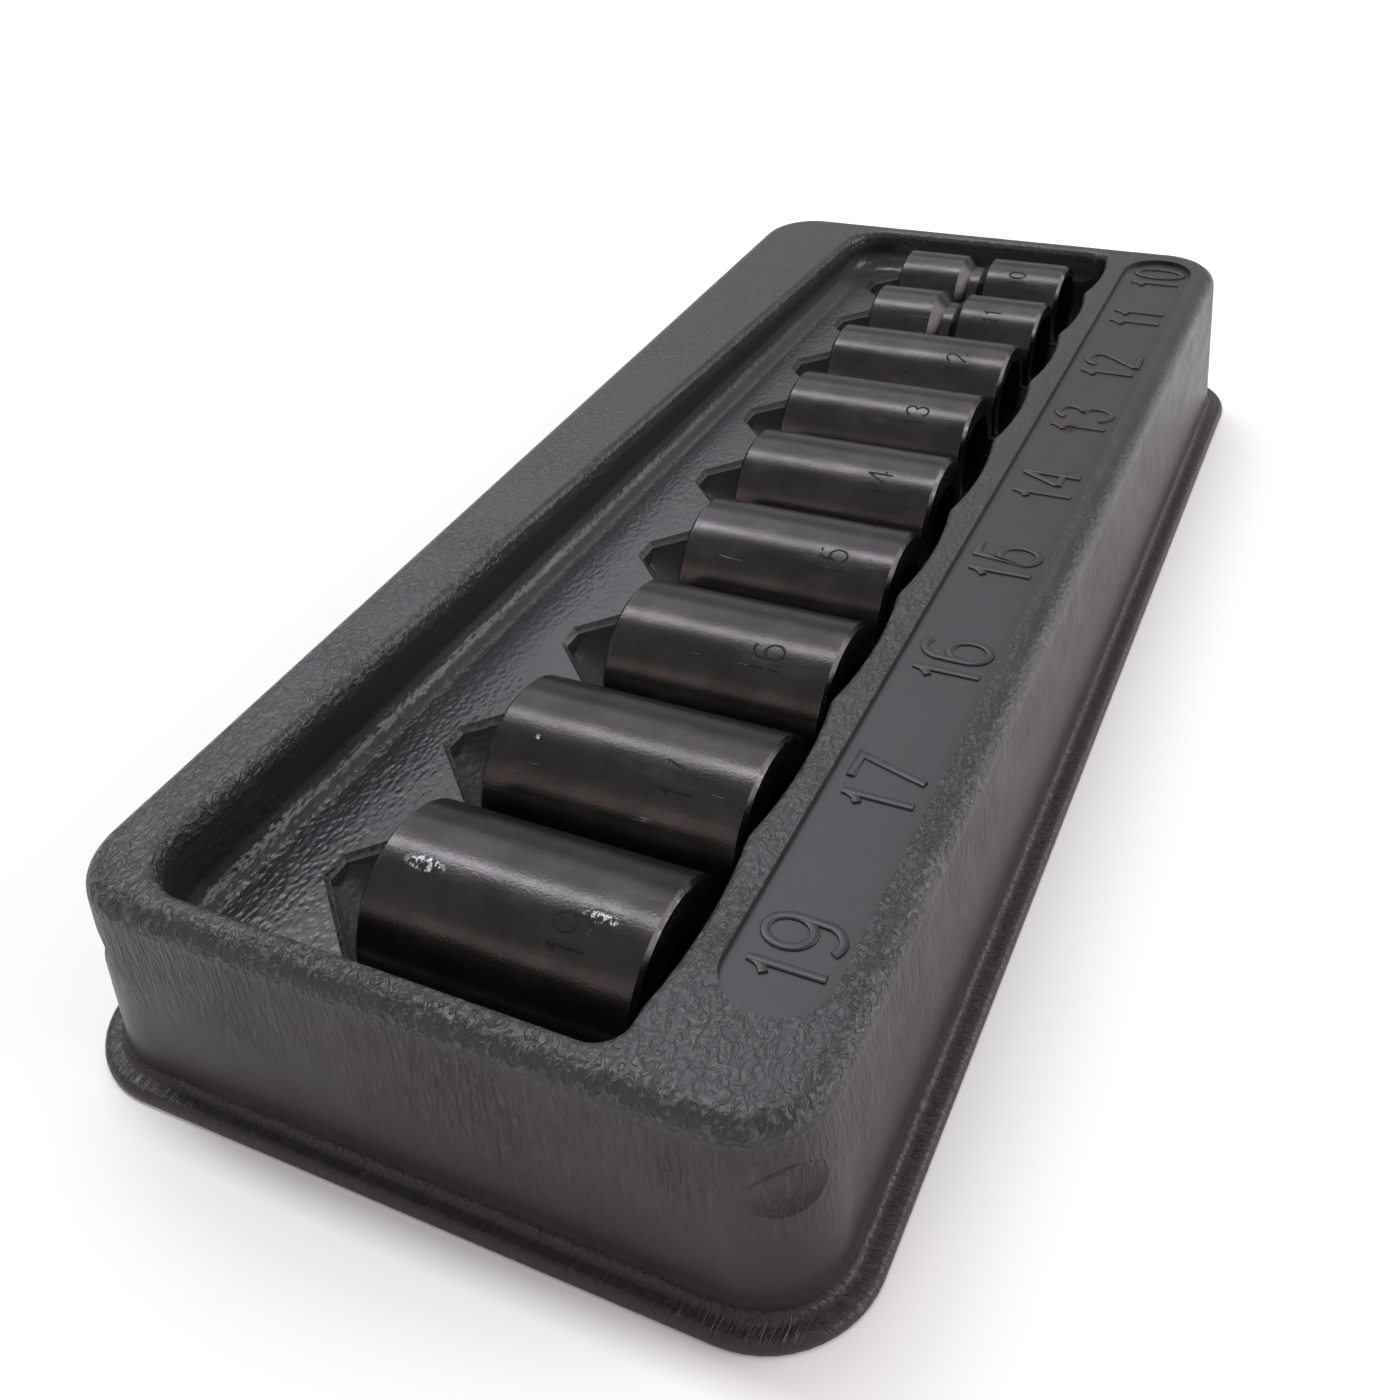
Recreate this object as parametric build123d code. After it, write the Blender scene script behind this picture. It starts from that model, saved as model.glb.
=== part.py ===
"""Socket organizer: a formed plastic tray with nine impact sockets lying across it.

Millimetres.  +X runs along the tray from the largest socket to the smallest,
+Y points to the finger shelf, -Y to the label rail, +Z is up.  The origin is
the centre of the foot's outline, on the surface that the tray stands on.
"""

import os
from math import sqrt

from build123d import *

os.makedirs("parts", exist_ok=True)

# ---------------------------------------------------------------- sockets
# Outside diameter of each socket, named after its wrench size.
diameter_19 = 30.0
diameter_17 = 29.6
diameter_16 = 28.4
diameter_15 = 26.4
diameter_14 = 25.8
diameter_13 = 24.4
diameter_12 = 22.4
diameter_11 = 21.2
diameter_10 = 20.2

long_socket = 42.0       # length of the two largest sockets
short_socket = 38.0      # length of the others
end_chamfer = 0.6        # outside chamfer at both ends of a socket
mouth_chamfer = 0.8      # lead-in chamfer of the hexagon and of the square
drive_square = 12.8      # across flats of the square drive hole
drive_depth = 15.5       # how deep the drive square goes
drive_corner = 1.3       # rounding of the square's inner corners
hex_play = 0.15          # how much wider the hexagon is than its wrench size
web_length = 3.0         # solid length between hexagon and square, less its bore
web_bore = 8.5           # bore through that web
neck_depth = 2.2         # groove around the middle of the two smallest sockets
neck_width = 2.2         # width of the groove's floor
neck_place = 0.54        # groove's place, as a share of the length from the drive end

# How far each socket lies from the label rail's wall, as it was put back.
gap_19 = 3.2
gap_17 = 2.8
gap_16 = 2.6
gap_15 = 3.2
gap_14 = 4.8
gap_13 = 6.6
gap_12 = 6.6
gap_11 = 5.9
gap_10 = 6.4

# ---------------------------------------------------------------- tray
sheet = 1.6              # wall thickness of the formed sheet
floor_rise = 4.5         # lowest socket's underside above the standing surface
seat_clearance = 0.35    # air between a socket and the cradle it lies in
cradle_land = 0.5        # least plastic between two neighbouring cradles
end_play = 0.7           # straight cradle left beyond a socket's open end
underside_round = 2.0    # rounding inside the foot, where the sheet turns outwards
cone_tip = 2.0           # radius of the blunt tip of a cradle's tapered end
near_margin = 7.0        # well floor before the first cradle
far_margin = 1.0         # well floor after the last cradle
ridge_drop = 4.2         # ridges between the sockets lie this far below the shelf
ridge_stop = 5.0         # ridges rise to the shelf this far before the open ends
notch_bevel = 0.9        # bevel where the cradles' ends break through the shelf
shelf_rise = 1.2         # shelf above the axes of the cradles
shelf_fillet = 3.8       # hollow fillet where the well's walls meet the shelf
scallop_depth = 1.3      # how far each cradle bites into the label rail's wall

finger_room = 7.5        # shelf left between the tightest cradle and the finger wall
well_taper = 14.0        # how much narrower the well is at the far end
well_corner = 9.0        # corner radius on the finger side
rail_corner = 4.6        # corner radius on the label side
well_draft = 1.0         # lean of the well's walls from the rim to the shelf
label_rail = 25.3        # top width of the rail that carries the label strip
finger_rail = 9.3        # top width of the opposite rail at its narrow end
end_rail = 5.25          # top width of the rails at both ends
mouth_round = 1.5        # rounding where the rails turn down into the well

rim_corner = 12.3        # corner radius of the tray's outside at the rim
rim_round = 3.4          # rounding between the rim and the outside walls
outside_draft = 2.8      # lean of the outside walls from the rim to the foot
foot_step = 3.6          # foot beyond the outside wall
foot_round = 1.3         # hollow fillet between the foot and the wall
foot_edge = 1.3          # rounding of the foot's upper edge

strip_width = 14.7       # recessed label strip
strip_depth = 0.9
strip_offset = 12.25     # strip's centre line from the rail's outer edge
strip_near_gap = 15.7    # strip's round end from the rim at the wide end
strip_far_gap = 6.0      # and at the far end

dent_radius = 8.0        # roller that forms the hollow across each corner
dent_depth = 1.1         # how far the hollow goes into the corner
dent_below_rim = 10.5    # hollow's centre below the rim

# ---------------------------------------------------------------- layout
sizes = [19, 17, 16, 15, 14, 13, 12, 11, 10]
diameters = [
    diameter_19, diameter_17, diameter_16, diameter_15, diameter_14,
    diameter_13, diameter_12, diameter_11, diameter_10,
]
end_gaps = [
    gap_19, gap_17, gap_16, gap_15, gap_14, gap_13, gap_12, gap_11, gap_10,
]
lengths = [long_socket] * 2 + [short_socket] * 7
necked = [size <= 11 for size in sizes]
seats = [diameter / 2 + seat_clearance for diameter in diameters]

tray_height = max(diameters) + floor_rise
row_length = 2 * sum(seats) + cradle_land * (len(seats) - 1)
well_length = near_margin + row_length + far_margin
well_near = -well_length / 2
well_far = well_length / 2

centres = []
edge = well_near + near_margin
for seat in seats:
    centres.append(edge + seat)
    edge += 2 * seat + cradle_land

# Each cradle's tapered end stops this far from the rail's wall.
reaches = [
    gap + length + end_play + seat - cone_tip
    for gap, length, seat in zip(end_gaps, lengths, seats)
]
well_width = finger_room + max(
    reach + well_taper * (centre - well_near) / well_length
    for reach, centre in zip(reaches, centres)
)
rim_length = well_length + 2 * end_rail
rim_width = label_rail + well_width + finger_rail
foot_length = rim_length + 2 * (outside_draft + foot_step)
foot_width = rim_width + 2 * (outside_draft + foot_step)
foot_corner = rim_corner + foot_step
rail_wall = -rim_width / 2 + label_rail
finger_wall = rail_wall + well_width
axis_heights = [tray_height - diameter / 2 for diameter in diameters]
row_slope = (axis_heights[-1] - axis_heights[0]) / (centres[-1] - centres[0])
overshoot = 4.0          # how far a cutting shape runs past the face that it opens
over_top = tray_height + 2 * overshoot


def axis_line(x):
    """Height of the straight line through the first and last cradle axis."""
    return axis_heights[0] + row_slope * (x - centres[0])


# ---------------------------------------------------------------- tray shapes
def outside_block(shrink):
    """Outside of the tray above its foot, or the same shape pulled in by shrink."""
    top = Plane.XY.offset(tray_height - shrink) * RectangleRounded(
        rim_length - 2 * shrink, rim_width - 2 * shrink, rim_corner - shrink
    )
    grow = outside_draft - shrink
    base = Plane.XY.offset(-1.0 if shrink else 0.0) * RectangleRounded(
        rim_length + 2 * grow, rim_width + 2 * grow, rim_corner - shrink
    )
    block = loft([base.face(), top.face()], ruled=True)
    rim_edges = block.edges().group_by(Axis.Z)[-1]
    return fillet(rim_edges, rim_round - min(shrink, rim_round / 2))


def foot_plate():
    """Flat foot that runs all round the tray."""
    return extrude(RectangleRounded(foot_length, foot_width, foot_corner), sheet)


def corner_dents(grow):
    """Rollers that press a shallow hollow across each outside corner below the rim."""
    roller = Rot(90, 0, 0) * Cylinder(dent_radius + grow, 2 * rim_corner)
    lean = outside_draft * dent_below_rim / tray_height
    reach = (rim_corner - dent_depth + dent_radius) / sqrt(2)
    height = tray_height - dent_below_rim
    rollers = []
    for side_x in (-1, 1):
        for side_y in (-1, 1):
            x = side_x * (rim_length / 2 - rim_corner + lean + reach)
            y = side_y * (rim_width / 2 - rim_corner + lean + reach)
            rollers.append(Pos(x, y, height) * (Rot(0, 0, 45 * side_x * side_y) * roller))
    return rollers


def well_outline(grow, level):
    """Plan of the well at a level: straight at the rail, slanting at the fingers."""
    lean = well_draft * (tray_height - level) / (tray_height - axis_line(0))
    wide = grow - lean
    points = [
        (well_near - wide, rail_wall - grow),
        (well_far + wide, rail_wall - grow),
        (well_far + wide, finger_wall - well_taper + wide),
        (well_near - wide, finger_wall + wide),
    ]
    with BuildSketch(Plane.XY.offset(level)) as outline:
        Polygon(*points, align=None)
        on_fingers = outline.vertices().filter_by(lambda v: v.Y > 0)
        fillet(on_fingers, well_corner + grow)
        on_rail = outline.vertices().filter_by(lambda v: v.Y < rail_wall - grow + 0.01)
        fillet(on_rail, rail_corner + grow)
    return outline.sketch.face()


def slanted_cut(drop, y_low, y_high):
    """Everything below the slanted shelf plane, lowered by drop, between two y."""
    x_near = -foot_length / 2
    x_far = foot_length / 2
    with BuildSketch(Plane.XZ.offset(-y_high)) as side:
        Polygon(
            (x_near, -tray_height),
            (x_far, -tray_height),
            (x_far, axis_line(x_far) + shelf_rise - drop),
            (x_near, axis_line(x_near) + shelf_rise - drop),
            align=None,
        )
    return extrude(side.sketch, y_high - y_low)


def upper_well(grow):
    """The open part of the well above the shelf."""
    well = loft([well_outline(grow, tray_height / 4), well_outline(grow, over_top)], ruled=True)
    well -= slanted_cut(grow, -rim_width, rim_width)
    floor_edges = well.faces().sort_by(Axis.Z)[0].edges()
    return fillet(floor_edges, shelf_fillet if grow == 0 else shelf_fillet / 2)


def ridge_trough(grow):
    """Lowers the ridges between the sockets, from the rail's wall to their open ends."""
    y_high = rail_wall + min(end_gaps) + short_socket - ridge_stop + grow
    y_low = rail_wall - grow
    x_near = centres[0] - grow
    x_far = centres[-1] + grow
    middle = Pos((x_near + x_far) / 2, (y_low + y_high) / 2, over_top / 2)
    block = middle * Box(x_far - x_near, y_high - y_low, over_top)
    return block - slanted_cut(ridge_drop + grow, -rim_width, rim_width)


def notch_flare(index):
    """Bevel around the open end of a cradle, where it breaks through the shelf."""
    seat = seats[index]
    y_start = rail_wall + min(end_gaps) + short_socket / 2
    y_end = rail_wall + reaches[index] + cone_tip - seat
    level = axis_line(centres[index]) + shelf_rise
    plans = []
    for side in (-1, 1):
        grow = notch_bevel * (1 + side)
        slant = grow * (sqrt(2) - 1)
        with BuildSketch(Plane.XY.offset(level + side * notch_bevel)) as plan:
            Polygon(
                (-seat - grow, y_start),
                (seat + grow, y_start),
                (seat + grow, y_end + slant),
                (cone_tip + slant, y_end + seat - cone_tip + grow),
                (-cone_tip - slant, y_end + seat - cone_tip + grow),
                (-seat - grow, y_end + slant),
                align=None,
            )
        plans.append(plan.sketch.face())
    return Pos(centres[index], 0, 0) * loft(plans, ruled=True)


def cradle(index, grow):
    """One cradle: half round below the axis, straight walls above, tapered open end."""
    seat = seats[index] + grow
    height = axis_heights[index]
    y_end = rail_wall + end_gaps[index] + lengths[index] + end_play + grow * (sqrt(2) - 1)
    tip = cone_tip + grow
    start = rail_wall - scallop_depth - grow - overshoot
    from_foot = (Align.CENTER, Align.CENTER, Align.MIN)
    barrel = Cylinder(seat, y_end - start, align=from_foot)
    barrel = Pos(0, start, height) * (Rot(-90, 0, 0) * barrel)
    taper = Cone(seat, tip, seat - tip, align=from_foot)
    taper = Pos(0, y_end, height) * (Rot(-90, 0, 0) * taper)
    with BuildSketch(Plane.XY.offset(height)) as plan:
        Polygon(
            (-seat, start),
            (seat, start),
            (seat, y_end),
            (tip, y_end + seat - tip),
            (-tip, y_end + seat - tip),
            (-seat, y_end),
            align=None,
        )
    column = extrude(plan.sketch, over_top - height)
    bite = seats[index]
    bow = (bite**2 + scallop_depth**2) / (2 * scallop_depth) + grow
    bow_centre = rail_wall - scallop_depth - grow + bow
    drum = Pos(0, bow_centre, over_top / 2) * Cylinder(bow, over_top)
    return Pos(centres[index], 0, 0) * ((barrel + taper + column) & drum)


def label_strip(grow):
    """Recess with round ends for the size numbers."""
    x_near = -rim_length / 2 + strip_near_gap - grow
    x_far = rim_length / 2 - strip_far_gap + grow
    y = -rim_width / 2 + strip_offset
    depth = strip_depth + grow
    strip = Pos((x_near + x_far) / 2, y, tray_height - depth) * extrude(
        SlotOverall(x_far - x_near, strip_width + 2 * grow), depth + overshoot
    )
    return strip


def tray():
    """The one formed sheet: outside, foot, well, cradles and label strip."""
    body = outside_block(0) + foot_plate()
    ring = body.edges().filter_by(lambda e: abs((e @ 0.5).Z - sheet) < 0.01)
    body = fillet([e for e in ring if not is_outer(e)], foot_round)
    ring = body.edges().filter_by(lambda e: abs((e @ 0.5).Z - sheet) < 0.01)
    body = fillet([e for e in ring if is_outer(e)], foot_edge)
    for roller in corner_dents(0):
        body -= roller
    hollow = outside_block(sheet)
    for roller in corner_dents(sheet):
        hollow -= roller
    hollow -= upper_well(sheet)
    hollow -= ridge_trough(sheet)
    for index in range(len(sizes)):
        hollow -= cradle(index, sheet)
    hollow -= label_strip(sheet)
    body -= upper_well(0)
    body -= ridge_trough(0)
    for index in range(len(sizes)):
        body -= cradle(index, 0)
        body -= notch_flare(index)
    body = fillet([e for e in body.edges() if on_mouth(e)], mouth_round)
    body -= label_strip(0)
    body -= hollow
    inside = body.edges().filter_by(lambda e: abs((e @ 0.5).Z) < 0.01 and not is_outer(e))
    return fillet(inside, underside_round)


def on_mouth(e):
    """True for an edge where the flat rim drops into the well."""
    point = e @ 0.5
    level = max(abs((e @ t).Z - tray_height) for t in (0.0, 0.5, 1.0))
    in_x = abs(point.X) < well_length / 2 + 0.1
    in_y = rail_wall - scallop_depth - 0.1 < point.Y < finger_wall + 0.1
    return level < 0.01 and in_x and in_y


def is_outer(e):
    """True for an edge on the foot's outline."""
    point = e @ 0.5
    on_end = abs(abs(point.X) - foot_length / 2) < 0.01
    on_side = abs(abs(point.Y) - foot_width / 2) < 0.01
    in_corner = abs(point.X) > foot_length / 2 - foot_corner and abs(point.Y) > foot_width / 2 - foot_corner
    away = sqrt(
        (abs(point.X) - foot_length / 2 + foot_corner) ** 2
        + (abs(point.Y) - foot_width / 2 + foot_corner) ** 2
    )
    return on_end or on_side or (in_corner and abs(away - foot_corner) < 0.01)


# ---------------------------------------------------------------- sockets
def socket_body(index):
    """Turned outside of a socket, with its drive end at y = 0."""
    radius = diameters[index] / 2
    length = lengths[index]
    points = [(0, 0), (radius - end_chamfer, 0), (radius, end_chamfer)]
    if necked[index]:
        middle = neck_place * length
        half = neck_width / 2
        points += [
            (radius, middle - half - neck_depth),
            (radius - neck_depth, middle - half),
            (radius - neck_depth, middle + half),
            (radius, middle + half + neck_depth),
        ]
    points += [(radius, length - end_chamfer), (radius - end_chamfer, length), (0, length)]
    with BuildSketch(Plane.XY) as profile:
        Polygon(*points, align=None)
    return revolve(profile.sketch, Axis.Y, 360)


def along(start, shape_depth, sketch):
    """A flat shape driven along +Y from a start, for the holes of a socket."""
    return extrude(Plane.XZ.offset(-start) * sketch, -shape_depth)


def cone_mouth(y, radius, inward):
    """Lead-in cone at a socket's mouth, narrowing into the socket."""
    turn = Rot(-90, 0, 0) if inward > 0 else Rot(90, 0, 0)
    narrow = radius - 2 * mouth_chamfer
    cone = Cone(radius, narrow, 2 * mouth_chamfer, align=(Align.CENTER, Align.CENTER, Align.MIN))
    return Pos(0, y, 0) * (turn * cone)


def socket(index):
    """One impact socket: square drive hole, web bore and hexagon, along Y."""
    length = lengths[index]
    flats = sizes[index] + hex_play
    hex_depth = length - drive_depth - web_length
    body = socket_body(index)
    square = RectangleRounded(drive_square, drive_square, drive_corner)
    body -= along(0, drive_depth, square)
    body -= along(0, length, Circle(web_bore / 2))
    hexagon = Rot(0, 0, 30) * RegularPolygon(flats / 2, 6, major_radius=False)
    body -= along(length - hex_depth, hex_depth, hexagon)
    body -= cone_mouth(0, drive_square / 2 + 2 * mouth_chamfer, 1)
    body -= cone_mouth(length, flats / 2 + 2 * mouth_chamfer, -1)
    lift = Pos(centres[index], rail_wall + end_gaps[index], axis_heights[index])
    return lift * body


export_step(tray(), "parts/tray.step")
for place, size in enumerate(sizes):
    export_step(socket(place), f"parts/socket_{size}.step")
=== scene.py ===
from math import cos, pi, radians, sin
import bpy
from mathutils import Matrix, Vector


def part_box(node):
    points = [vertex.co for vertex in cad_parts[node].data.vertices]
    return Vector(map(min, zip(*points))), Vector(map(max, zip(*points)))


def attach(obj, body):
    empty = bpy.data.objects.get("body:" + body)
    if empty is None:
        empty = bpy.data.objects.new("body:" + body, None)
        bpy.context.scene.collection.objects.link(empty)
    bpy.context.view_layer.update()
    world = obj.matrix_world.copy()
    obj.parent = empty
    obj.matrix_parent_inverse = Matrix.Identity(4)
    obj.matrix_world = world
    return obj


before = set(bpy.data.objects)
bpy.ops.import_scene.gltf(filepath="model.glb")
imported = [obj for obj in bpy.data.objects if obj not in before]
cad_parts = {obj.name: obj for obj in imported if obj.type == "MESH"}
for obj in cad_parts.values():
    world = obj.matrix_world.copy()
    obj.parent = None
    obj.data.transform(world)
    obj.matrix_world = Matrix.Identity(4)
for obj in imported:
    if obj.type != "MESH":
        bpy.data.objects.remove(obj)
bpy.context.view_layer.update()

from types import SimpleNamespace

import bpy
from mathutils import Matrix, Vector

MM = 0.001
SIZES = (19, 17, 16, 15, 14, 13, 12, 11, 10)


# ------------------------------------------------------------ shader helpers
class Shader:
    """A material with a few short calls for its nodes."""

    def __init__(self, name):
        self.material = bpy.data.materials.new(name)
        self.material.use_nodes = True
        self.tree = self.material.node_tree
        self.surface = self.tree.nodes["Principled BSDF"]
        self.place = self.node("ShaderNodeTexCoord").outputs["Object"]
        split = self.node("ShaderNodeSeparateXYZ", Vector=self.place)
        self.x, self.y, self.z = split.outputs

    def node(self, kind, settings=None, **inputs):
        made = self.tree.nodes.new(kind)
        for key, value in (settings or {}).items():
            setattr(made, key, value)
        for key, value in inputs.items():
            self.put(made.inputs[key.replace("_", " ")], value)
        return made

    def put(self, socket, value):
        if isinstance(value, bpy.types.NodeSocket):
            self.tree.links.new(value, socket)
        else:
            socket.default_value = value

    def fill(self, made, *values):
        """Puts the values in the node's first inputs, in their order."""
        for socket, value in zip(made.inputs, values):
            self.put(socket, value)
        return made.outputs[0]

    def math(self, operation, *values):
        return self.fill(self.node("ShaderNodeMath", {"operation": operation}), *values)

    def times(self, *values):
        product = values[0]
        for value in values[1:]:
            product = self.math("MULTIPLY", product, value)
        return product

    def scaled(self, value, factor, offset):
        """value * factor + offset"""
        return self.math("MULTIPLY_ADD", value, factor, offset)

    def without(self, share):
        """1 - share"""
        return self.math("SUBTRACT", 1.0, share)

    def length(self, x, y):
        """Length of a flat vector."""
        return self.math("SQRT", self.math("ADD", self.times(x, x), self.times(y, y)))

    def step(self, value, low, high):
        """0 at low, 1 at high, smooth between them and level beyond. low may be above high."""
        made = self.node("ShaderNodeMapRange", {"interpolation_type": "SMOOTHSTEP"})
        first, last = (0.0, 1.0) if low < high else (1.0, 0.0)
        return self.fill(made, value, min(low, high), max(low, high), first, last)

    def step_mm(self, value, low, high):
        """A step of a length, with its limits in millimetres."""
        return self.step(value, low * MM, high * MM)

    def band_mm(self, value, low, high, soft):
        """1 between low and high, 0 further out than soft, all in millimetres."""
        return self.times(self.step_mm(value, low - soft, low), self.step_mm(value, high + soft, high))

    def stretched(self, x, y, z):
        """Texture coordinates with that many features per metre along each axis."""
        made = self.node("ShaderNodeMapping", Vector=self.place)
        made.inputs["Scale"].default_value = (x, y, z)
        return made.outputs[0]

    def noise(self, vector, scale=1.0, detail=3.0, roughness=0.55, distortion=0.0):
        made = self.node("ShaderNodeTexNoise", Vector=vector, Scale=scale, Detail=detail,
                         Roughness=roughness, Distortion=distortion)
        return made.outputs[0]

    def cells(self, vector):
        made = self.node("ShaderNodeTexVoronoi", {"feature": "SMOOTH_F1"}, Vector=vector, Scale=1.0)
        return made.outputs[0]

    def blend(self, share, first, second):
        made = self.node("ShaderNodeMix", {"data_type": "RGBA"})
        self.put(made.inputs[0], share)
        self.put(made.inputs[6], first)
        self.put(made.inputs[7], second)
        return made.outputs[2]

    def paint(self, colour, *coats):
        """Lays coats over a colour one after the other, each a share and a colour."""
        for share, coat in coats:
            colour = self.blend(share, colour, coat)
        return colour

    def emboss(self, *layers):
        """Normal of bumps laid one on the other, each a height, a strength and a depth in millimetres."""
        normal = None
        for height, strength, depth in layers:
            made = self.node("ShaderNodeBump", Height=height, Strength=strength, Distance=depth * MM)
            if normal is not None:
                self.put(made.inputs["Normal"], normal)
            normal = made.outputs[0]
        return normal

    def finish(self, **inputs):
        for key, value in inputs.items():
            self.put(self.surface.inputs[key.replace("_", " ")], value)
        return self.material


def grey(level, red=0.0, blue=0.0):
    """A grey with a little red or blue added."""
    return (level + red, level, level + blue, 1.0)


# ------------------------------------------------------------ where things lie
def barrel(size):
    """Ends, axis and radius of a socket in its cradle."""
    low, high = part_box(f"socket_{size}")
    return SimpleNamespace(low=low, high=high, x=(low.x + high.x) / 2, z=(low.z + high.z) / 2,
                           radius=(high.x - low.x) / 2)


def through(first, last):
    """Slope and level of the straight line through two points."""
    slope = (last[1] - first[1]) / (last[0] - first[0])
    return slope, first[1] - slope * first[0]


NEAR_LOW, NEAR_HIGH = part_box("socket_19")
FAR_LOW, FAR_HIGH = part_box("socket_10")
NEAR_X, FAR_X = (NEAR_LOW.x + NEAR_HIGH.x) / 2, (FAR_LOW.x + FAR_HIGH.x) / 2
SHELF_RISE = 1.2 * MM                    # the shelf lies this much above the sockets' axes
SHELF_SLOPE, SHELF_LEVEL = through((NEAR_X, (NEAR_LOW.z + NEAR_HIGH.z) / 2 + SHELF_RISE),
                                   (FAR_X, (FAR_LOW.z + FAR_HIGH.z) / 2 + SHELF_RISE))
ENDS_SLOPE, ENDS_Y = through((NEAR_X, NEAR_HIGH.y), (FAR_X, FAR_HIGH.y))     # line of the open ends
RIM_X, RIM_Y, RIM_CORNER = 128.6 * MM, 54.5 * MM, 12.3 * MM                  # half sizes and corner radius
STRIP_DEPTH = 0.9 * MM
STRIP_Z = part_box("tray")[1].z - STRIP_DEPTH


# ------------------------------------------------------------ tray plastic
def tray_zones(m):
    """Where each look of the tray lies: 1 in the zone, 0 outside it, limits in millimetres."""
    out_x, out_y = m.math("ABSOLUTE", m.x), m.math("ABSOLUTE", m.y)
    corner_x = m.math("MAXIMUM", m.math("SUBTRACT", out_x, RIM_X - RIM_CORNER), 0.0)
    corner_y = m.math("MAXIMUM", m.math("SUBTRACT", out_y, RIM_Y - RIM_CORNER), 0.0)
    outer = m.step(m.length(corner_x, corner_y), RIM_CORNER - 2.2 * MM, RIM_CORNER - 1.2 * MM)
    over_shelf = m.math("SUBTRACT", m.z, m.scaled(m.x, SHELF_SLOPE, SHELF_LEVEL))
    past_sockets = m.math("SUBTRACT", m.y, m.scaled(m.x, ENDS_SLOPE, ENDS_Y))
    in_well = m.step_mm(out_x, 124.5, 123.5)
    below_rim = m.step_mm(m.z, 32.5, 31.0)
    strip = m.times(m.band_mm(m.y, -49.9, -34.6, 0.3), m.band_mm(m.x, -113.5, 122.9, 0.4),
                    m.step_mm(m.z, 34.3, 34.1), m.step_mm(m.z, 33.0, 33.3))
    return SimpleNamespace(
        strip=strip,
        rails=m.times(m.step_mm(m.z, 30.0, 32.5), m.without(strip)),
        crest=m.band_mm(m.z, 32.2, 34.1, 0.3),
        foot=m.step_mm(m.z, 4.2, 2.6),
        ends=m.step_mm(m.math("SUBTRACT", corner_x, corner_y), -5.0, 5.0),
        side=m.times(m.step_mm(m.z, 3.5, 6.0), m.step_mm(m.z, 32.5, 30.0), outer),
        inside=m.times(in_well, m.step_mm(m.y, -28.5, -27.5), below_rim),
        notches=m.times(m.step_mm(over_shelf, -0.3, -1.1), m.step_mm(past_sockets, -2.0, 0.2), in_well),
        finger_wall=m.times(m.step_mm(over_shelf, 3.0, 4.5), below_rim, m.step_mm(m.y, 20.0, 24.0),
                            m.without(outer)),
    )


RUST_X, RUST_Y = 38.6 * MM, -41.7 * MM                                       # beside the number 13
RUST_OUTER, RUST_INNER, RUST_RAGGED = 1.4, 0.7, 0.8                          # mm


def rust_spot(m, ragged):
    """1 in the small rust spot, which is longer along the strip and has a ragged edge."""
    x, y = m.math("SUBTRACT", m.x, RUST_X), m.math("SUBTRACT", m.y, RUST_Y)
    away = m.math("SQRT", m.math("ADD", m.times(x, x, 0.5), m.times(y, y)))
    away = m.scaled(m.math("SUBTRACT", ragged, 0.5), RUST_RAGGED * MM, away)
    return m.step_mm(away, RUST_OUTER, RUST_INNER)


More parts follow.
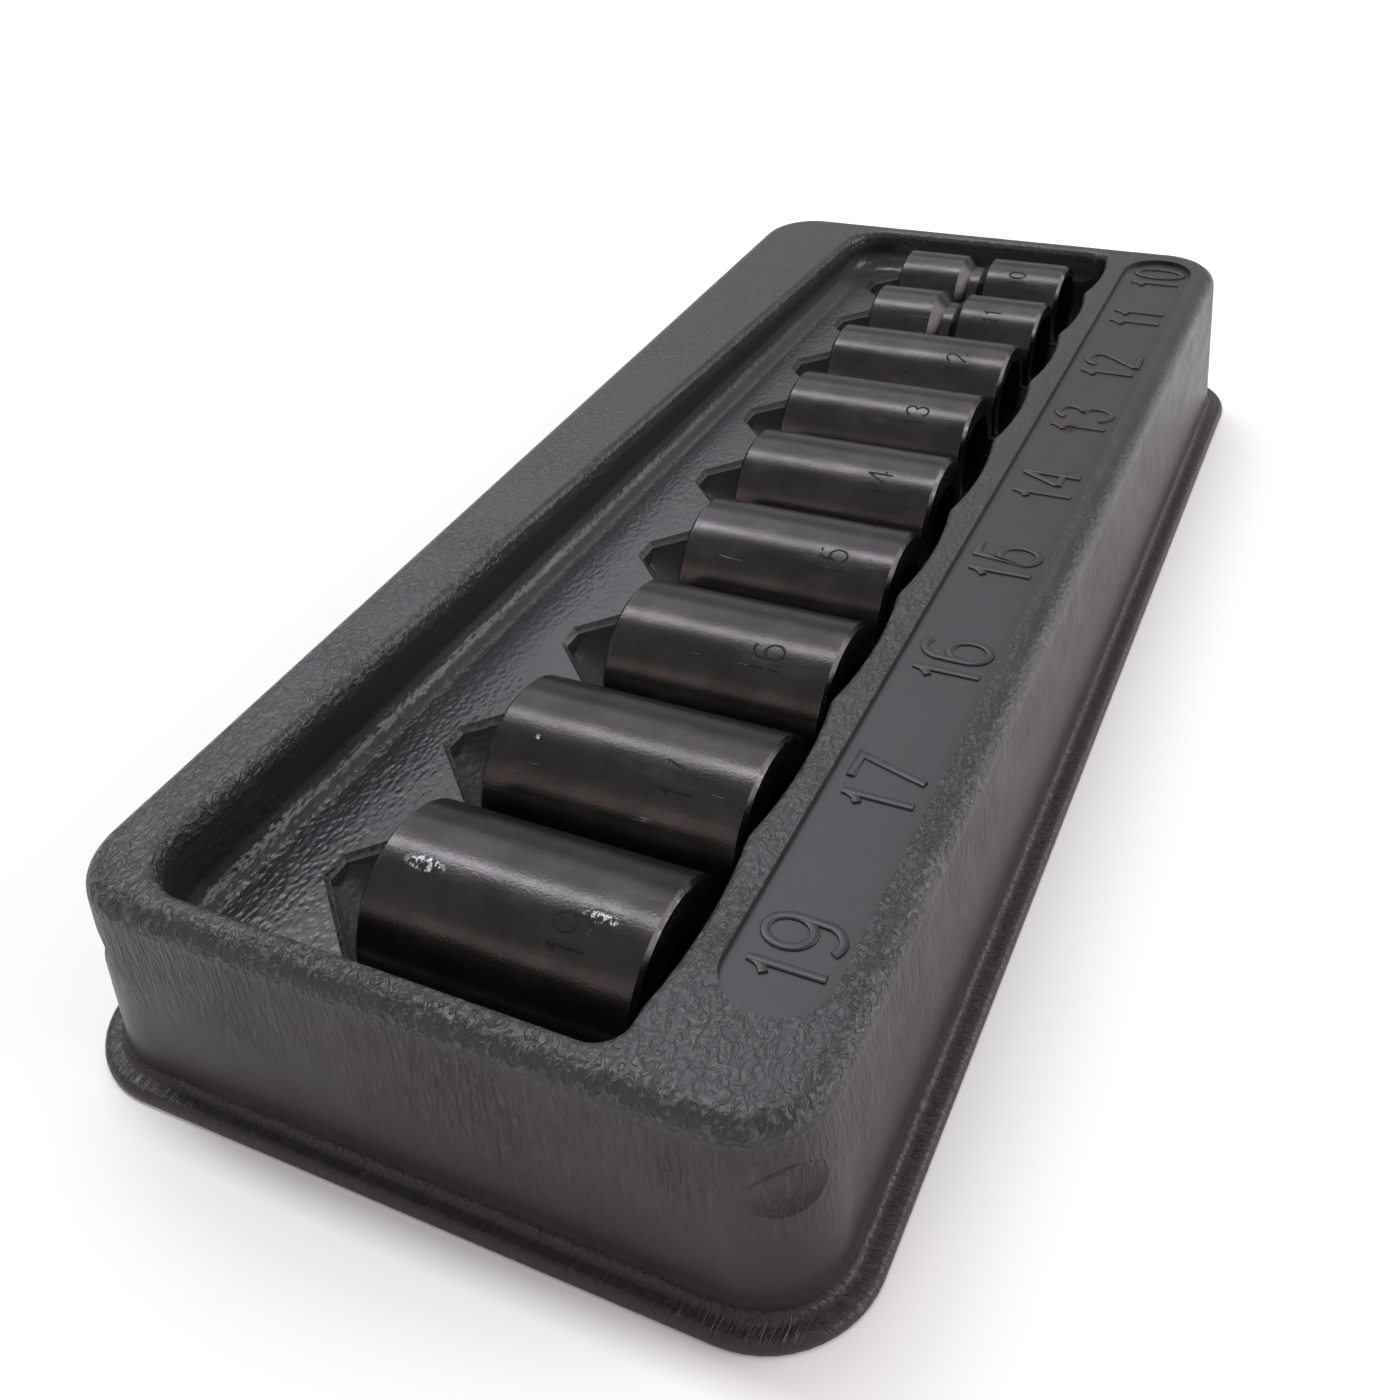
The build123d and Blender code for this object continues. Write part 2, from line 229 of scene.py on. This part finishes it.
def tray_plastic():
    """Charcoal formed sheet: haircell grain on the rails, wrinkles drawn along the shelf, down the outer
    walls and across the foot, smooth on the label strip. Light and shade are painted into its tone: it is
    lighter on the shelf and in the notches, a painted light, and darker on the finger wall, a painted shade,
    as the photograph shows them from the camera's place. The crests of the grain and wrinkles carry painted
    glints, and the outer walls and foot a painted warm light."""
    m = Shader("tray_plastic")
    zone = tray_zones(m)

    # The grain comes and goes in patches. It fades towards the far end and down the outer walls.
    lively = m.scaled(m.step(m.noise(m.place, 45.0, 2.0), 0.38, 0.62), 0.55, 0.45)
    faded = m.scaled(m.step_mm(m.x, 10.0, -100.0), 0.6, 0.4)
    upper = m.scaled(m.step_mm(m.z, 8.0, 26.0), 0.8, 0.2)
    threads = m.step(m.noise(m.stretched(440.0, 640.0, 520.0), 1.0, 2.0, 0.45, 1.6), 0.40, 0.66)
    pebbles = m.cells(m.stretched(880.0, 1080.0, 1000.0))
    hair = m.times(m.scaled(threads, 0.60, m.times(pebbles, 0.85)), m.scaled(zone.crest, 0.25, 1.0))
    fine = m.noise(m.place, 2300.0, 2.0)
    broad = m.noise(m.place, 180.0, 4.0)
    down = m.noise(m.stretched(1250.0, 1250.0, 190.0), 1.0, 2.0, 0.5, 1.1)
    drawn = m.noise(m.stretched(190.0, 620.0, 620.0), 1.0, 2.5, 0.5, 1.3)
    scales = m.cells(m.stretched(760.0, 1150.0, 1050.0))
    shelf = m.scaled(scales, 0.75, m.times(drawn, 0.45))
    across_x = m.noise(m.stretched(210.0, 1100.0, 500.0), 1.0, 3.0, 0.6, 0.7)
    across_y = m.noise(m.stretched(1100.0, 210.0, 500.0), 1.0, 3.0, 0.6, 0.7)
    normal = m.emboss(
        (hair, m.times(zone.rails, lively, faded), 0.42),
        (fine, m.times(m.without(zone.strip), 0.22), 0.08),
        (down, m.times(zone.side, upper, lively), 0.70),
        (shelf, m.times(zone.inside, lively, faded, 0.8), 0.38),
        (across_x, m.times(zone.foot, zone.ends, 0.95), 0.60),
        (across_y, m.times(zone.foot, m.without(zone.ends), 0.9), 0.60),
    )

    spot = rust_spot(m, fine)
    base = m.paint(
        m.blend(m.step(broad, 0.35, 0.7), grey(0.0235, 0.0016, 0.0040), grey(0.0290, 0.0016, 0.0046)),
        # Painted light: the inside of the well is lighter towards the far end of the shelf.
        (m.times(zone.inside, m.step_mm(m.x, -95.0, -30.0)), grey(0.040, 0.001, 0.005)),
        # Painted light: the notches are about four times lighter than the rest of the plastic.
        (zone.notches, grey(0.105, 0.002, 0.006)),
        # Painted shade: the finger wall is darker.
        (m.times(zone.finger_wall, 0.8), grey(0.008, 0.0, 0.001)),
        # The outer walls get a darker tone with a warm tint; the warm tint is painted warm light.
        (zone.side, grey(0.0105, 0.0052, -0.0015)),
        # The foot gets the same painted warm light, as a warm tint.
        (zone.foot, grey(0.0230, 0.0050, 0.0)),
        # Painted glints: the crests of the rail grain are lighter.
        (m.times(m.step(hair, 0.95, 1.25), zone.rails, faded, 0.35), grey(0.12, 0.0, 0.004)),
        # Painted highlight: the crests of the wrinkles high on the outer walls are lighter.
        (m.times(m.step(down, 0.52, 0.72), zone.side, upper, 0.40), grey(0.055, 0.006, -0.001)),
        (m.times(spot, 0.9), (0.050, 0.021, 0.015, 1.0)),
    )
    # The finger wall is also rougher and less shiny, along with its painted shade; the rust spot is dull as
    # well.
    dull = m.math("MAXIMUM", zone.finger_wall, spot)
    rough = m.scaled(m.step(broad, 0.3, 0.75), 0.08, 0.34)
    rough = m.math("SUBTRACT", rough, m.times(zone.inside, 0.10))
    rough = m.math("ADD", rough, m.times(dull, 0.25))
    shine = m.math("SUBTRACT", 0.5, m.times(dull, 0.28))
    return m.finish(Base_Color=base, Roughness=rough, Normal=normal, IOR=1.42, Specular_IOR_Level=shine)


# ------------------------------------------------------------ socket steel
# Scuffs by socket: mm from the drive end, degrees from the top, half length and half width in mm.
SCUFFS = {
    19: ((34.6, -17.5, 3.3, 1.2), (8.0, -17.4, 2.6, 0.9)),
    17: ((34.8, -26.0, 0.5, 0.4),),
}


def scuff_marks(m, size, across, length):
    """1 where the upper half of a socket is scuffed, 0 elsewhere."""
    socket = barrel(size)
    scuffed = 0.0
    for from_drive, turned, half_long, half_wide in SCUFFS.get(size, ()):
        aside = m.math("SUBTRACT", across, socket.radius * sin(radians(turned)))
        away = m.length(m.math("DIVIDE", m.math("SUBTRACT", length, from_drive * MM), half_long * MM),
                        m.math("DIVIDE", aside, half_wide * MM))
        mark = m.times(m.step(away, 1.15, 0.55), m.step(m.z, socket.z, socket.z + 1.0 * MM))
        scuffed = m.math("MAXIMUM", scuffed, mark)
    return scuffed


def socket_steel(size):
    """Black-finished steel: faint turning marks, a few scratches and scuffs, worn edges, dull inside."""
    socket = barrel(size)
    m = Shader(f"socket_steel_{size}")
    across = m.math("SUBTRACT", m.x, socket.x)
    above = m.math("SUBTRACT", m.z, socket.z)
    length = m.math("SUBTRACT", m.y, socket.low.y)
    outside = m.step(m.length(across, above), socket.radius - 3.2 * MM, socket.radius - 2.4 * MM)
    bore = m.without(outside)

    # Each socket takes its marks from another part of the textures.
    along = m.node("ShaderNodeCombineXYZ", X=across, Y=length, Z=above).outputs[0]
    moved = m.node("ShaderNodeMapping", Vector=along)
    moved.inputs["Location"].default_value = (size * 0.37, size * 0.11, size * 0.53)
    m.place = moved.outputs[0]

    turning = m.noise(m.stretched(30.0, 1900.0, 30.0), 1.0, 3.0, 0.7)
    grain = m.noise(m.place, 2600.0, 2.0)
    cloud = m.noise(m.place, 110.0, 5.0, 0.6)
    handled = m.noise(m.stretched(300.0, 90.0, 300.0), 1.0, 4.0, 0.6)
    pits = m.step(m.noise(m.place, 430.0, 2.0, 0.4), 0.775, 0.80)
    scratch = m.step(m.noise(m.stretched(1700.0, 75.0, 900.0), 1.0, 2.0, 0.4, 0.9), 0.76, 0.785)
    scratch = m.times(scratch, outside)
    scuffed = scuff_marks(m, size, across, length)
    torn = m.times(scuffed, m.step(m.noise(m.stretched(900.0, 1400.0, 900.0)), 0.44, 0.56))
    to_end = m.math("MINIMUM", length, m.math("SUBTRACT", socket.high.y, m.y))
    edge = m.times(m.step_mm(to_end, 1.1, 0.3), outside)
    worn = m.times(edge, m.step(m.noise(m.place, 260.0, 4.0, 0.7), 0.50, 0.64))

    base = m.paint(
        m.blend(m.step(cloud, 0.35, 0.7), grey(0.030, 0.0015, 0.0005), grey(0.043, 0.0025, 0.0015)),
        (m.times(m.step(handled, 0.55, 0.72), 0.35), grey(0.060, 0.009, -0.002)),
        (m.times(scratch, 0.45), grey(0.22, 0.0, 0.005)),
        (m.times(worn, 0.25), grey(0.24, 0.0, 0.006)),
        (m.times(scuffed, 0.6), grey(0.014)),
        (m.times(torn, 0.75), grey(0.36, 0.0, 0.010)),
        (m.times(pits, outside, 0.8), grey(0.010)),
        (bore, grey(0.030, 0.001, 0.0)),
    )
    rough = m.scaled(m.step(handled, 0.3, 0.75), 0.08, 0.21)
    rough = m.math("ADD", rough, m.times(bore, 0.18))
    normal = m.emboss(
        (turning, 0.26, 0.06),
        (grain, 0.45, 0.06),
        (m.times(m.math("MAXIMUM", pits, scratch), outside), 0.5, -0.06),
        (torn, 0.6, -0.10),
    )
    return m.finish(Base_Color=base, Metallic=0.9, Roughness=rough, Normal=normal)


def dress(node, material):
    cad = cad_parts[node]
    cad.data.materials.clear()
    cad.data.materials.append(material)


plastic = tray_plastic()
dress("tray", plastic)
for size in SIZES:
    dress(f"socket_{size}", socket_steel(size))


# ------------------------------------------------------------ strokes for numbers
def arc(cx, cy, rx, ry, start, end, steps):
    """Points on an ellipse, angles in degrees from +X."""
    turns = [radians(start + (end - start) * i / steps) for i in range(steps + 1)]
    return [(cx + rx * cos(a), cy + ry * sin(a)) for a in turns]


# Each digit is one to three strokes in a box 1 high. Its width is in the same unit.
DIGITS = {
    "0": [arc(0.24, 0.5, 0.24, 0.5, 90, 450, 28)],
    "1": [[(0.19, 1.0), (0.19, 0.0)],
          [(0.02, 0.73), (0.10, 0.78), (0.16, 0.86), (0.19, 0.96)]],
    "2": [arc(0.24, 0.75, 0.24, 0.25, 170, -30, 16) + [(0.30, 0.40), (0.04, 0.04)],
          [(0.0, 0.0), (0.50, 0.0)]],
    "3": [arc(0.24, 0.76, 0.22, 0.24, 165, -75, 16),
          arc(0.24, 0.27, 0.24, 0.27, 80, -165, 18)],
    "4": [[(0.38, 0.0), (0.38, 1.0)],
          [(0.35, 0.96), (0.03, 0.33)],
          [(0.0, 0.30), (0.52, 0.30)]],
    "5": [[(0.46, 1.0), (0.10, 1.0), (0.05, 0.52)] + arc(0.23, 0.32, 0.25, 0.32, 130, -160, 20)],
    "6": [arc(0.25, 0.31, 0.25, 0.31, 0, 360, 28),
          arc(0.27, 0.69, 0.27, 0.31, 55, 165, 10) + [(0.0, 0.50), (0.0, 0.31)]],
    "7": [[(0.0, 1.0), (0.48, 1.0), (0.18, 0.0)]],
    "9": [arc(0.25, 0.69, 0.25, 0.31, 0, 360, 28),
          arc(0.23, 0.31, 0.27, 0.31, -125, -15, 10) + [(0.50, 0.50), (0.50, 0.69)]],
}
DIGIT_WIDTH = {"0": 0.48, "1": 0.24, "2": 0.50, "3": 0.48, "4": 0.52, "5": 0.48, "6": 0.50, "7": 0.48,
               "9": 0.50}
STROKE_STEP = 0.008 * MM                 # strokes that meet lie this much above each other


def number_strokes(text, height, gap, centre_x, foot_y):
    """Strokes of a number, centred on centre_x, its digits' feet on foot_y."""
    widths = [DIGIT_WIDTH[c] * height for c in text]
    x = centre_x - (sum(widths) + gap * (len(text) - 1)) / 2
    strokes = []
    for c, width in zip(text, widths):
        strokes += [[(x + px * height, foot_y + py * height) for px, py in stroke] for stroke in DIGITS[c]]
        x += width + gap
    return strokes


def line_curve(name, lines):
    """A flat curve of straight pieces. A line that ends where it starts is closed."""
    curve = bpy.data.curves.new(name, "CURVE")
    curve.dimensions = "2D"
    for points in lines:
        closed = (Vector(points[0]) - Vector(points[-1])).length < 1e-6
        points = points[:-1] if closed else points
        spline = curve.splines.new("POLY")
        spline.points.add(len(points) - 1)
        for point, (x, y) in zip(spline.points, points):
            point.co = (x, y, 0.0, 1.0)
        spline.use_cyclic_u = closed
    holder = bpy.data.objects.new(name, curve)
    bpy.context.scene.collection.objects.link(holder)
    return holder


def flat_bar(name, wide, high, bevel):
    """Cross-section of a raised stroke: flat on top, with slanting edges, sunk a little below."""
    corners = [(-wide / 2, -high), (wide / 2, -high), (wide / 2, high - bevel), (wide / 2 - bevel, high),
               (bevel - wide / 2, high), (-wide / 2, high - bevel)]
    return line_curve(name, [corners + corners[:1]])


def islands(mesh):
    """Groups of vertices that edges join, in the order of their first vertex."""
    links = [[] for _ in mesh.vertices]
    for edge in mesh.edges:
        a, b = edge.vertices
        links[a].append(b)
        links[b].append(a)
    seen = set()
    for first in range(len(links)):
        stack, island = [first], []
        while stack:
            at = stack.pop()
            if at not in seen:
                seen.add(at)
                island.append(at)
                stack += links[at]
        if island:
            yield island


def sink_in_turn(mesh):
    """Lowers the strokes by 0, 1 or 2 steps in turn, so that two that meet don't share a plane."""
    for order, island in enumerate(islands(mesh)):
        for at in island:
            mesh.vertices[at].co.z -= STROKE_STEP * (order % 3)


def stroke_mesh(name, strokes, wide, high, bevel, bend=None):
    """A number of flat-topped strokes in the XY plane. bend moves each vertex."""
    bar = flat_bar(name + "_bar", wide, high, bevel)
    line = line_curve(name, strokes)
    line.data.fill_mode = "NONE"
    line.data.bevel_mode = "OBJECT"
    line.data.bevel_object = bar
    line.data.use_fill_caps = True
    seen = bpy.context.evaluated_depsgraph_get()
    mesh = bpy.data.meshes.new_from_object(line.evaluated_get(seen))
    sink_in_turn(mesh)
    bpy.data.objects.remove(line)
    bpy.data.objects.remove(bar)
    if bend:
        for vertex in mesh.vertices:
            vertex.co = bend(vertex.co)
    piece = bpy.data.objects.new(name, mesh)
    bpy.context.scene.collection.objects.link(piece)
    return piece


# ------------------------------------------------------------ raised numbers on the label strip
# Middle of each number along the strip, in mm, by the size of its socket.
NUMERAL_X = {19: -101.2, 17: -69.1, 16: -38.7, 15: -10.0, 14: 16.9, 13: 42.9, 12: 67.2, 11: 91.3, 10: 114.1}
NUMERAL_HEIGHT, NUMERAL_GAP, NUMERAL_FOOT = 10.2 * MM, 2.6 * MM, -47.8 * MM
NUMERAL_STROKE = (1.25 * MM, 0.32 * MM, 0.12 * MM)                           # width, height, bevel

for size, place in NUMERAL_X.items():
    strokes = number_strokes(str(size), NUMERAL_HEIGHT, NUMERAL_GAP, place * MM, NUMERAL_FOOT)
    numeral = stroke_mesh(f"numeral_{size}", strokes, *NUMERAL_STROKE)
    numeral.data.transform(Matrix.Translation((0.0, 0.0, STRIP_Z)))
    numeral.data.materials.append(plastic)
    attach(numeral, "tray")


# ------------------------------------------------------------ size stamps on the sockets
STAMP_HEIGHT, STAMP_GAP = 0.36, 0.28     # shares of the socket's radius and of the stamp's height
STAMP_FROM_DRIVE, STAMP_TURNED = 8.5 * MM, radians(-30)
STAMP_STROKE = (0.42 * MM, 0.10 * MM, 0.04 * MM)                             # width, height, bevel
FILM_RISE, FILM_FLATNESS = 0.02 * MM, 0.1


def stamp_ink():
    """Painted shade that looks like the bottom of a stamp: dark and rough, with brighter metal where it has
    been rubbed.
    """
    m = Shader("stamp_groove")
    rubbed = m.step(m.noise(m.place, 900.0), 0.55, 0.70)
    base = m.paint(grey(0.006), (m.times(rubbed, 0.5), grey(0.060, 0.004, 0.0)))
    normal = m.emboss((m.noise(m.place, 2400.0, 2.0), 0.4, 0.05))
    return m.finish(Base_Color=base, Metallic=0.6, Roughness=0.62, Normal=normal)


def round_the_barrel(socket):
    """Bends a flat number round a socket, as a dark film 0.01 to 0.03 mm above its face: it stands for the
    groove of a stamp, with the groove's shade painted on."""
    def bend(co):
        turned = co.x / socket.radius + STAMP_TURNED
        out = socket.radius + FILM_RISE + co.z * FILM_FLATNESS
        return Vector((socket.x + out * sin(turned), socket.low.y + STAMP_FROM_DRIVE + co.y,
                       socket.z + out * cos(turned)))
    return bend


groove = stamp_ink()
for size in SIZES:
    socket = barrel(size)
    tall = STAMP_HEIGHT * socket.radius
    strokes = number_strokes(str(size), tall, STAMP_GAP * tall, 0.0, 0.0)
    stamp = stroke_mesh(f"stamp_{size}", strokes, *STAMP_STROKE, round_the_barrel(socket))
    stamp.data.materials.append(groove)
    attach(stamp, f"socket_{size}")


# ------------------------------------------------------------ stage, light and camera
def make_floor():
    """A large white floor, just below the tray's foot."""
    reach, level = 3.0, -0.4 * MM
    corners = [(-reach, -reach, level), (reach, -reach, level), (reach, reach, level), (-reach, reach, level)]
    mesh = bpy.data.meshes.new("floor")
    mesh.from_pydata(corners, [], [(0, 1, 2, 3)])
    floor = bpy.data.objects.new("floor", mesh)
    bpy.context.scene.collection.objects.link(floor)
    m = Shader("floor_white")
    colour = m.blend(m.step(m.noise(m.place, 6.0), 0.3, 0.7), grey(0.89), grey(0.92))
    floor.data.materials.append(m.finish(Base_Color=colour, Roughness=0.9))


def panel(name, place, along, width, height, radiance, colour):
    """A soft rectangular light that faces the origin, its width along the given direction."""
    lamp = bpy.data.lights.new(name, "AREA")
    lamp.shape = "RECTANGLE"
    lamp.size, lamp.size_y = width, height
    lamp.energy, lamp.color = radiance * pi * width * height, colour
    back = Vector(place).normalized()
    wide = Vector(along)
    wide = (wide - back * wide.dot(back)).normalized()
    turn = Matrix((wide, back.cross(wide), back)).transposed().to_4x4()
    holder = bpy.data.objects.new(name, lamp)
    holder.matrix_world = Matrix.Translation(place) @ turn
    holder.visible_camera = False
    bpy.context.scene.collection.objects.link(holder)


def make_world():
    """Weak, slightly warm light from all around."""
    world = bpy.data.worlds.new("studio")
    world.use_nodes = True
    back = world.node_tree.nodes["Background"]
    back.inputs["Color"].default_value = (1.0, 0.985, 0.975, 1.0)
    back.inputs["Strength"].default_value = 0.55
    bpy.context.scene.world = world


def make_camera():
    """The pinhole camera that was fitted to the tray's outline in the photograph."""
    photo, focal, middle_x, middle_y = 1400, 1426.8, 693.9, 700.2            # pixels
    place = (-208.56 * MM, -89.69 * MM, 165.43 * MM)
    right = Vector((0.42799804, -0.90127305, -0.06726489))
    down = Vector((-0.58282853, -0.21835865, -0.7827071))
    forward = Vector((0.69074494, 0.374201, -0.61874472))
    turn = Matrix((right, -down, -forward)).transposed().to_4x4()
    lens = bpy.data.cameras.new("camera")
    lens.sensor_width = 36.0
    lens.lens = lens.sensor_width * focal / photo
    lens.shift_x = (photo / 2 - middle_x) / photo
    lens.shift_y = (middle_y - photo / 2) / photo
    lens.clip_start, lens.clip_end = 0.01, 20.0
    camera = bpy.data.objects.new("camera", lens)
    bpy.context.scene.collection.objects.link(camera)
    camera.matrix_world = Matrix.Translation(place) @ turn
    bpy.context.scene.camera = camera


ALONG_X, ALONG_Y = (1.0, 0.0, 0.0), (0.0, 1.0, 0.0)

make_floor()
make_world()
# Places and sizes in metres. The key light's direction comes from the highlights along the sockets.
panel("key", (0.67, 1.12, 2.70), ALONG_Y, 2.70, 0.40, 14.5, (0.97, 0.97, 1.01))
panel("back", (0.92, 0.72, 1.18), ALONG_Y, 1.30, 0.90, 1.6, (0.97, 0.97, 1.03))
panel("side", (0.50, -1.30, 0.60), ALONG_X, 1.50, 0.80, 4.2, (1.02, 0.96, 0.94))
panel("warm", (-0.95, 0.41, 0.44), ALONG_Y, 0.40, 0.40, 1.1, (1.0, 0.72, 0.62))
make_camera()
bpy.context.scene.view_settings.view_transform = "Standard"
